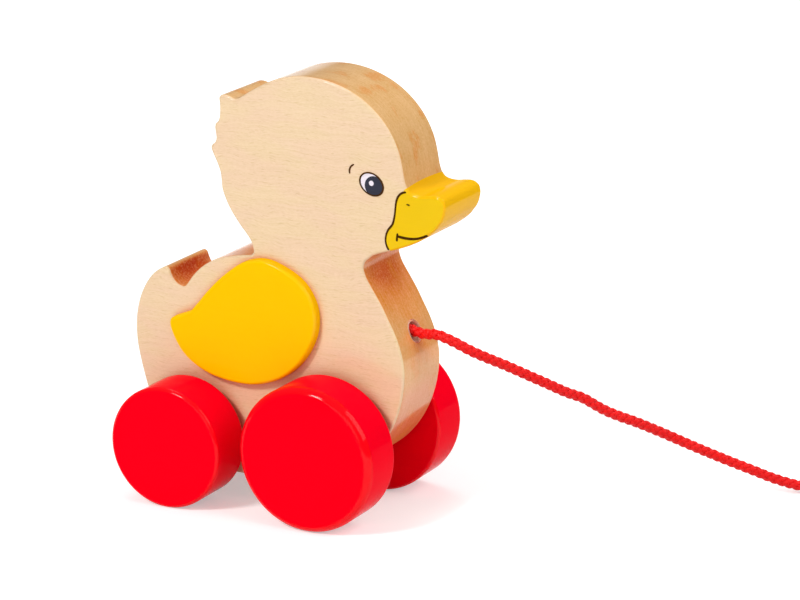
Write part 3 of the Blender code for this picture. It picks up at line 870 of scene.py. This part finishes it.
def make_tie(stack_at, heading):
    """The woven tape that holds the coil: once round its four strands, its end stuck down over its start."""
    outwards = np.array([heading[1], -heading[0], 0])
    upwards = np.array([0, 0, 1.0])
    apart = (CORD_DIAMETER + COIL_STRAND_GAP) / 2
    corners = ((1, 1), (-1, 1), (-1, -1), (1, -1), (1, 1))
    route, normals = [], []
    for quarter, (right, up) in enumerate(corners):
        lap = TIE_THICKNESS + TIE_LAP_GAP if quarter == len(corners) - 1 else 0.0
        for a in quarter * pi / 2 + quarter_turn():
            normal = cos(a) * outwards + sin(a) * upwards
            normals.append(normal)
            route.append(apart * (right * outwards + up * upwards) + (CORD_DIAMETER / 2 + lap) * normal)
    route.append(route[-1] - apart * outwards)
    normals.append(normals[-1])
    route, normals = np.array(route), np.array(normals)
    side, face = TIE_WIDTH / 2, TIE_THICKNESS / 2
    section = ((-side, -face), (side, -face), (side, 0), (side - face, face), (face - side, face), (-side, 0))
    edges = []
    for across, out in section:
        edge = stack_at + route + out * normals + across * heading
        edge[:, 2] = np.maximum(edge[:, 2], face - out)
        edges.append(edge)
    tie = mesh_object("coil_tie", np.stack(edges, axis=1), ring_faces(len(route), len(section)), cord_yarn)
    along = np.repeat(length_along(route), len(section))
    over = np.tile([across for across, _ in section], len(route))
    lay_yarn(tie, np.stack([along, over], axis=1) / MM)
    return dress(smooth_shading(tie), "red_cord")


def make_bead(at, heading):
    """The wooden bead, a ball with a lipped hole for the cord."""
    hole_radius = CORD_DIAMETER / 2 + BEAD_HOLE_CLEARANCE
    steepest = acos((hole_radius + BEAD_LIP_ROUND) / BEAD_RADIUS)
    slopes = np.linspace(-steepest, steepest, BEAD_POINTS)
    profile = [(BEAD_RADIUS * cos(a), BEAD_RADIUS * sin(a)) for a in slopes]
    top = BEAD_RADIUS * sin(steepest)
    lip = [(hole_radius + BEAD_LIP_ROUND * (1 - sin(a)), top - BEAD_LIP_ROUND * (1 - cos(a)))
           for a in quarter_turn()[1:]]
    profile += lip + [(r, -z) for r, z in reversed(lip)]
    bead = turned("wooden_bead", profile, SMALL_SIDES, bead_paint, join_ends=True)
    return dress(smooth_shading(place(bead, at, heading)), "yellow_paint", "pull_bead")


def make_cord():
    """The free cord with its coil, and the bead, knot and tie on it."""
    path, bead_at, heading, stack_at = cord_path()
    cord = dress(braid("braided_cord", path), "red_cord", "pull_cord", "pull_cord_coil")
    bead = make_bead(bead_at, heading)
    low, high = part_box("end_knot")
    knot = stop_knot("end_knot_tied", middle("end_knot"), heading, (high.z - low.z) / 2, END_KNOT_LENGTH)
    dress(knot, "red_cord", "end_knot")
    tie = make_tie(stack_at, heading)


def make_cord_inside():
    """The cord in the chest and the knot that holds it there."""
    start = middle("cord_stop_knot")
    out = Vector((CHEST_HOLE[0] - KNOT_POCKET[0], 0, CHEST_HOLE[1] - KNOT_POCKET[1])).normalized()
    knot = stop_knot("stop_knot_tied", start, out, STOP_KNOT_RADIUS, STOP_KNOT_LENGTH)
    dress(knot, "red_cord", "cord_stop_knot")
    free_start = Vector(CORD_ROUTE[0]) * MM
    first = start + out * STOP_KNOT_TO_CORD
    path = evenly(np.array([first, free_start - (free_start - first).normalized() * GLUE_GAP]), BRAID_STEP)
    dress(braid("cord_in_bore_braid", path), "red_cord", "cord_in_bore")


# The board and its prints


def axle_bores(half):
    bores = []
    for end in ENDS:
        centre = middle(f"{end}_axle")
        radius = node_radius(f"{end}_axle") + RUNNING_CLEARANCE
        bores.append(hole((centre.x, -half, centre.z), (0, 1, 0), radius, 2 * half + radius))
    return bores


def cord_bore(loop):
    """The cord's bore from the knot's pocket out through the chest, and its rounded mouth."""
    pocket = Vector((KNOT_POCKET[0], 0, KNOT_POCKET[1]))
    along = Vector((CHEST_HOLE[0], 0, CHEST_HOLE[1])) - pocket
    bore = hole(pocket, along, CORD_BORE_RADIUS, along.length + CORD_BORE_RADIUS, back=0)
    nearest = np.argmin(lengths(loop - CHEST_HOLE))
    outward = -inward(loop)[nearest]
    flare = [(CORD_BORE_RADIUS, -2 * CORD_BORE_FLARE)]
    flare += [(CORD_BORE_RADIUS + CORD_BORE_FLARE * (1 - sin(a)), -CORD_BORE_FLARE * cos(a))
              for a in quarter_turn()[::-1]]
    flare.append((flare[-1][0], 2 * CORD_BORE_FLARE))
    mouth = turned("cutter", flare, SMALL_SIDES, bore_wood)
    place(mouth, (loop[nearest][0], 0, loop[nearest][1]), (outward[0], 0, outward[1]))
    return [bore, mouth]


def knot_pocket(half):
    low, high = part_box("cord_stop_knot")
    reach = hypot(high.x - low.x, high.z - low.z) / 2
    return hole((KNOT_POCKET[0], -half, KNOT_POCKET[1]), (0, 1, 0), reach, half + reach)


def dowel_holes(wing, side, half, into_board):
    """The holes for a wing's dowels, from the board's face into the board or else into the wing."""
    holes = []
    for end in ENDS:
        dowel = f"{wing}_dowel_{end}"
        low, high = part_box(dowel)
        inner, outer = sorted((abs(low.y), abs(high.y)))
        depth = (half - inner if into_board else outer - half) + END_GAP
        direction = (0, -side if into_board else side, 0)
        centre = middle(dowel)
        holes.append(hole((centre.x, side * half, centre.z), direction, node_radius(dowel) + GLUE_GAP, depth))
    return holes


def make_body():
    """The board with its bores. Gives its outline and half its thickness."""
    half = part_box("duck_body")[1].y
    loop = smooth_loop(cad_outline("duck_body", half - BOARD_EDGE_ROUND), OUTLINE_STEP)
    body = rounded_slab("duck_board", loop, -half, half, BOARD_EDGE_ROUND, BOARD_EDGE_ROUND, wood)
    cutters = axle_bores(half) + cord_bore(loop) + [knot_pocket(half)]
    for side, word in FLANKS:
        cutters += dowel_holes(f"{word}_wing", side, half, into_board=True)
    dress(smooth_shading(cut(body, cutters)), "wood", "duck_body")
    return loop, half


def bill_stretch(loop):
    """Which points of the board's outline run round the bill, and how many of them lie past its corner."""
    first, last = (np.argmin(lengths(loop - np.array(end) * MM)) for end in (JAW_END, BILL_CORNER))
    past = int(2 * BILL_PAINT_BOW / OUTLINE_STEP) + 2
    once_round = len(loop) if last < first else 0
    return np.arange(first, last + once_round + past) % len(loop), past


def bill_edge_lines(loop, half, stretch, past):
    """Lines of points along the bill's edge, side by side from the right face over the wall to the left."""
    fits, normals = fitting_round(loop, BOARD_EDGE_ROUND)[stretch], inward(loop)[stretch]
    along = length_along(loop[stretch])
    sections = [(a, -1) for a in quarter_turn()[::-1]]
    sections += [(0.0, across) for across in np.linspace(-1, 1, BILL_WALL_STEPS + 1)[1:-1]]
    sections += [(a, 1) for a in quarter_turn()]
    lines = []
    for a, across in sections:
        moved = loop[stretch] + normals * (fits * (1 - cos(a)) - PAINT_FILM)[:, None]
        y = across * (half + PAINT_FILM - fits * (1 - sin(a)))
        bow = BILL_PAINT_BOW * (1 - (across * (1 - BILL_RIM_SHARE * cos(a))) ** 2)
        places = np.linspace(0, along[-past] + bow, len(stretch))
        lines.append(np.stack([np.interp(places, along, values) for values in in_space(moved, y).T], axis=1))
    return lines


def make_bill_paint(loop, half):
    """The bill's yellow paint: a thin coat over both faces and round the board's edge, up to its line."""
    stretch, past = bill_stretch(loop)
    line = smooth_curve(np.array(BILL_LINE) * MM, OUTLINE_STEP)
    for end in (stretch[0], stretch[-past]):
        line = line[lengths(line - loop[end]) > BILL_LINE_END_GAP]
    points = bill_edge_lines(loop, half, stretch, past)
    rows, count = len(points), len(stretch)
    faces = []
    for i in range(rows - 1):
        for k in range(count - 1):
            here = i * count + k
            faces.append((here, here + 1, here + count + 1, here + count))
    for side, row in ((-1, 0), (1, rows - 1)):
        start = sum(len(lot) for lot in points)
        points.append(in_space(line, side * (half + PAINT_FILM)))
        faces.append(tuple(range(row * count, (row + 1) * count)) + tuple(range(start, start + len(line))))
    made = mesh_object("bill_paint", np.concatenate(points), faces, bill_paint)
    if sum(f.normal.y * f.center.y * f.area for f in made.data.polygons) < 0:
        made.data.flip_normals()
    modify(made, "SOLIDIFY", thickness=2 * PAINT_FILM, offset=-1)
    dress(smooth_shading(made), "yellow_paint")


def board_surface(xz, loop, half, lift):
    """How far out in y a film of this lift over the board lies at points (x, z), also on the rounded edge."""
    apart = np.linalg.norm(xz[:, None] - loop[None], axis=2)
    nearest = np.argmin(apart, axis=1)
    inside = np.clip(np.sum((xz - loop[nearest]) * inward(loop)[nearest], axis=1), 0, BOARD_EDGE_ROUND)
    short = BOARD_EDGE_ROUND - inside
    return half - BOARD_EDGE_ROUND + np.sqrt(np.clip((BOARD_EDGE_ROUND + lift)**2 - short**2, 0, None))


def disc_film(outline, low, high, side):
    """Points and faces of a thin flat film over a closed outline (x, z), from y = low to high on one side."""
    rings = [in_space(outline, side * y) for y in (low, high)]
    return np.concatenate(rings), ring_faces(2, len(outline))


def stroke_film(route, width, closed, coat, side, loop, half):
    """Points and faces of a pen stroke along points in millimetres, laid on one face. Open ones end round."""
    line = np.array(route) * MM
    if closed:
        line = smooth_loop(line, STROKE_STEP)
        run = np.roll(line, -1, axis=0) - np.roll(line, 1, axis=0)
    else:
        line = smooth_curve(line, STROKE_STEP)
        run = np.gradient(line, axis=0)
    across = left_of(run)
    along = length_along(line)
    pen = width * MM / 2
    reach = pen * (1 - STROKE_WAVER + STROKE_WAVER * np.sin(along / STROKE_WAVER_LENGTH))
    if not closed:
        from_end = np.clip(np.minimum(along, along[-1] - along) / pen, STROKE_TIP_SHARE, 1)
        reach *= np.sqrt(np.clip(1 - (1 - from_end) ** 2, 0, 1))
    shares = np.linspace(1, -1, STROKE_POINTS_ACROSS)
    section = [(1, -INK_FILM)] + [(share, coat) for share in shares] + [(-1, -INK_FILM)]
    corners = []
    for share, lift in section:
        edge = line + across * (share * reach)[:, None]
        corners.append(in_space(edge, side * board_surface(edge, loop, half, lift)))
    return np.stack(corners, axis=1).reshape(-1, 3), ring_faces(len(line), len(section), join_ends=closed)


def line_films(strokes, coat, side, loop, half):
    """Several pen strokes on one face as one lot of points and faces."""
    return joined([stroke_film(*stroke, coat, side, loop, half) for stroke in strokes])


def ellipse(centre, axes, tilt=0.0):
    """Points (x, z) on an ellipse that is given in millimetres."""
    t = full_turn(EYE_POINTS)
    x, z = axes[0] * np.cos(t), axes[1] * np.sin(t)
    turned_x = x * cos(tilt) - z * sin(tilt)
    turned_z = x * sin(tilt) + z * cos(tilt)
    return np.stack([centre[0] + turned_x, centre[1] + turned_z], axis=1) * MM


def make_face(loop, half):
    """The eye, brow, nostril, mouth and bill line on both sides, each ink on top of the one before."""
    eye = ellipse(EYE_CENTRE, EYE_AXES, EYE_TILT)
    pupil = ellipse(PUPIL_CENTRE, (PUPIL_RADIUS, PUPIL_RADIUS))
    glint = ellipse(GLINT_CENTRE, GLINT_AXES)
    eye_strokes = ((eye / MM, EYE_LINE_WIDTH, True), (BROW, BROW_WIDTH, False))
    bill_strokes = ((BILL_LINE, BILL_LINE_WIDTH, False), (NOSTRIL, NOSTRIL_WIDTH, False),
                    (MOUTH, MOUTH_WIDTH, False), (MOUTH_TICK, MOUTH_TICK_WIDTH, False))
    low = half - INK_FILM
    for side, word in FLANKS:
        eye_lines = line_films(eye_strokes, 4 * INK_FILM, side, loop, half)
        bill_lines = line_films(bill_strokes, PAINT_FILM + INK_FILM, side, loop, half)
        layers = (
            ("eye_white", disc_film(eye, low, half + INK_FILM, side), white_ink, "eye_white"),
            ("eye_pupil", disc_film(pupil, low, half + 2 * INK_FILM, side), pupil_ink, "print_ink"),
            ("eye_glint", disc_film(glint, low, half + 3 * INK_FILM, side), white_ink, "eye_white"),
            ("eye_lines", eye_lines, line_ink, "print_ink"),
            ("bill_lines", bill_lines, line_ink, "print_ink"),
        )
        for name, (points, faces), material, slot in layers:
            dress(mesh_object(f"{word}_{name}", points, faces, material), slot)


# Wings, wheels and axles


def make_wings(half):
    """The two painted wings with the holes for their dowels. The dowels stay as the solids are, in wood."""
    for side, word in FLANKS:
        node = f"{word}_wing"
        low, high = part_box(node)
        base, outer = (low.y, high.y) if side > 0 else (high.y, low.y)
        loop = smooth_loop(cad_outline(node, base), OUTLINE_STEP)
        foot = side * (half + INK_FILM)
        rounds = (0, WING_EDGE_ROUND) if side > 0 else (WING_EDGE_ROUND, 0)
        wing = rounded_slab(f"{node}_painted", loop, *sorted((foot, outer)), *rounds, wing_paint)
        cut(wing, dowel_holes(node, side, half, into_board=False))
        for end in ENDS:
            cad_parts[f"{node}_dowel_{end}"].data.materials[0] = dowel_wood
        dress(smooth_shading(wing), "yellow_paint", node)


def make_axle(end):
    node = f"{end}_axle"
    radius, reach = node_radius(node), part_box(node)[1].y
    tip = [(AXLE_END_FLAT, reach), (radius - AXLE_CHAMFER, reach), (radius, reach - AXLE_CHAMFER)]
    profile = [(r, -z) for r, z in tip] + tip[::-1]
    axle = turned(f"{node}_dowel", profile, SMALL_SIDES, dowel_wood)
    dress(smooth_shading(place(axle, middle(node), (0, 1, 0))), "dowel_wood", node, body=f"{end}_wheelset")


def wheel_edge(radius, level, rounding, way):
    """A rounded edge (radius, z) from a wheel's tread to its face at a level, above or below the tread."""
    return [(radius - rounding * (1 - cos(a)), level - way * rounding * (1 - sin(a)))
            for a in quarter_turn()]


def make_wheel(end, side, word):
    """A solid wheel with a blind hole for its axle in the inner face."""
    axle, node = f"{end}_axle", f"{end}_wheel_{word}"
    centre = middle(axle)
    low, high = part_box(node)
    radius, thickness = node_radius(node), high.y - low.y
    inner = min(abs(low.y), abs(high.y))
    hole_radius = node_radius(axle) + GLUE_GAP
    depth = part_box(axle)[1].y + END_GAP - inner
    profile = [(WHEEL_END_FLAT, thickness)]
    profile += wheel_edge(radius, thickness, WHEEL_OUTER_ROUND[end], 1)[::-1]
    profile += wheel_edge(radius, 0.0, WHEEL_INNER_ROUND, -1)
    profile += [(hole_radius, 0), (hole_radius, depth), (WHEEL_END_FLAT, depth)]
    wheel = turned(f"{node}_painted", profile, WHEEL_SIDES, red_paint)
    place(wheel, (centre.x, side * inner, centre.z), (0, side, 0))
    dress(smooth_shading(wheel), "red_paint", node, body=f"{end}_wheelset")


def make_wheelsets():
    for end in ENDS:
        make_axle(end)
        for side, word in FLANKS:
            make_wheel(end, side, word)


# The stage


def make_floor():
    """A white floor that glows to the camera and in reflections, and keeps the shadows."""
    s = Shader("floor")
    rays = s.add("LightPath").outputs
    seen = s.math("MAXIMUM", rays["Is Camera Ray"], rays["Is Glossy Ray"], rays["Is Transmission Ray"])
    grain = s.noise(40)
    ahead = s.along(s.position, TABLE_END_DIRECTION)
    beyond = s.math("MULTIPLY", s.step(ahead, *TABLE_END), rays["Is Glossy Ray"])
    shown = s.between(beyond, 1.0, DARK_ROOM_SHARE)
    tone = s.math("MULTIPLY", s.between(grain, 0.995, 1.005), shown)
    s.set(Base_Color=s.shade(FLOOR_TONE, tone), Roughness=0.9, Specular_IOR_Level=0.0)
    away = s.add("VectorMath", {0: s.position}, operation="LENGTH").outputs["Value"]
    glow = s.step(away, *GLOW_DISTANCES, *GLOW_STRENGTHS, "LINEAR")
    s.set(Emission_Color=(1, 1, 1, 1), Emission_Strength=s.math("MULTIPLY", seen, glow, shown))
    corners = [(x * FLOOR_REACH, y * FLOOR_REACH, 0) for x, y in ((-1, -1), (1, -1), (1, 1), (-1, 1))]
    mesh_object("floor", corners, [(0, 1, 2, 3)], s.material)


def make_world():
    """A studio: a dim room with a paler ceiling, and a white card that stands low behind."""
    world = bpy.data.worlds.new("studio")
    world.use_nodes = True
    nodes = Nodes(world.node_tree)
    direction = nodes.add("TexCoord").outputs["Generated"]
    up = nodes.add("SeparateXYZ", {0: direction}).outputs["Z"]
    behind = nodes.along(direction, CARD_DIRECTION)
    card = nodes.math("MULTIPLY", nodes.step(up, *CARD_TOP, CARD_LIGHT, 0.0), nodes.step(behind, *CARD_SIDES))
    room = nodes.step(up, *ROOM_HEIGHTS, *ROOM_LIGHT)
    sky = nodes.tree.nodes["Background"]
    nodes.feed(sky.inputs["Strength"], nodes.math("MAXIMUM", room, card))
    nodes.feed(sky.inputs["Color"], (1, 1, 1, 1))
    bpy.context.scene.world = world


def aim(made, at, target):
    """Puts a lamp or the camera into the scene at a place, looking at a target."""
    bpy.context.scene.collection.objects.link(made)
    made.location = at
    made.rotation_euler = (Vector(target) - Vector(at)).to_track_quat("-Z", "Y").to_euler()


def add_softbox(name, at, size, power):
    data = bpy.data.lights.new(name, "AREA")
    data.shape = "RECTANGLE"
    data.size, data.size_y = size
    data.energy = power
    aim(bpy.data.objects.new(name, data), at, LAMP_TARGET)


def make_lights():
    add_softbox("key_softbox", at=(-0.475, -1.39, 1.27), size=(0.38, 0.30), power=21)
    add_softbox("right_softbox", at=(1.17, 0.08, 1.00), size=(1.30, 1.10), power=13)
    add_softbox("front_softbox", at=(0.25, -1.60, 0.55), size=(1.20, 0.80), power=4)
    add_softbox("back_softbox", at=(-0.35, 0.80, 1.57), size=(0.80, 0.60), power=7)


def make_camera():
    data = bpy.data.cameras.new("photo_camera")
    data.sensor_width = CAMERA_SENSOR
    data.lens = CAMERA_LENS
    camera = bpy.data.objects.new("photo_camera", data)
    aim(camera, CAMERA_PLACE, CAMERA_TARGET)
    bpy.context.scene.camera = camera


bpy.context.scene.view_settings.view_transform = "Standard"
make_camera()
make_cord()
make_cord_inside()
board_loop, board_half = make_body()
make_bill_paint(board_loop, board_half)
make_face(board_loop, board_half)
make_wings(board_half)
make_wheelsets()
make_floor()
make_world()
make_lights()
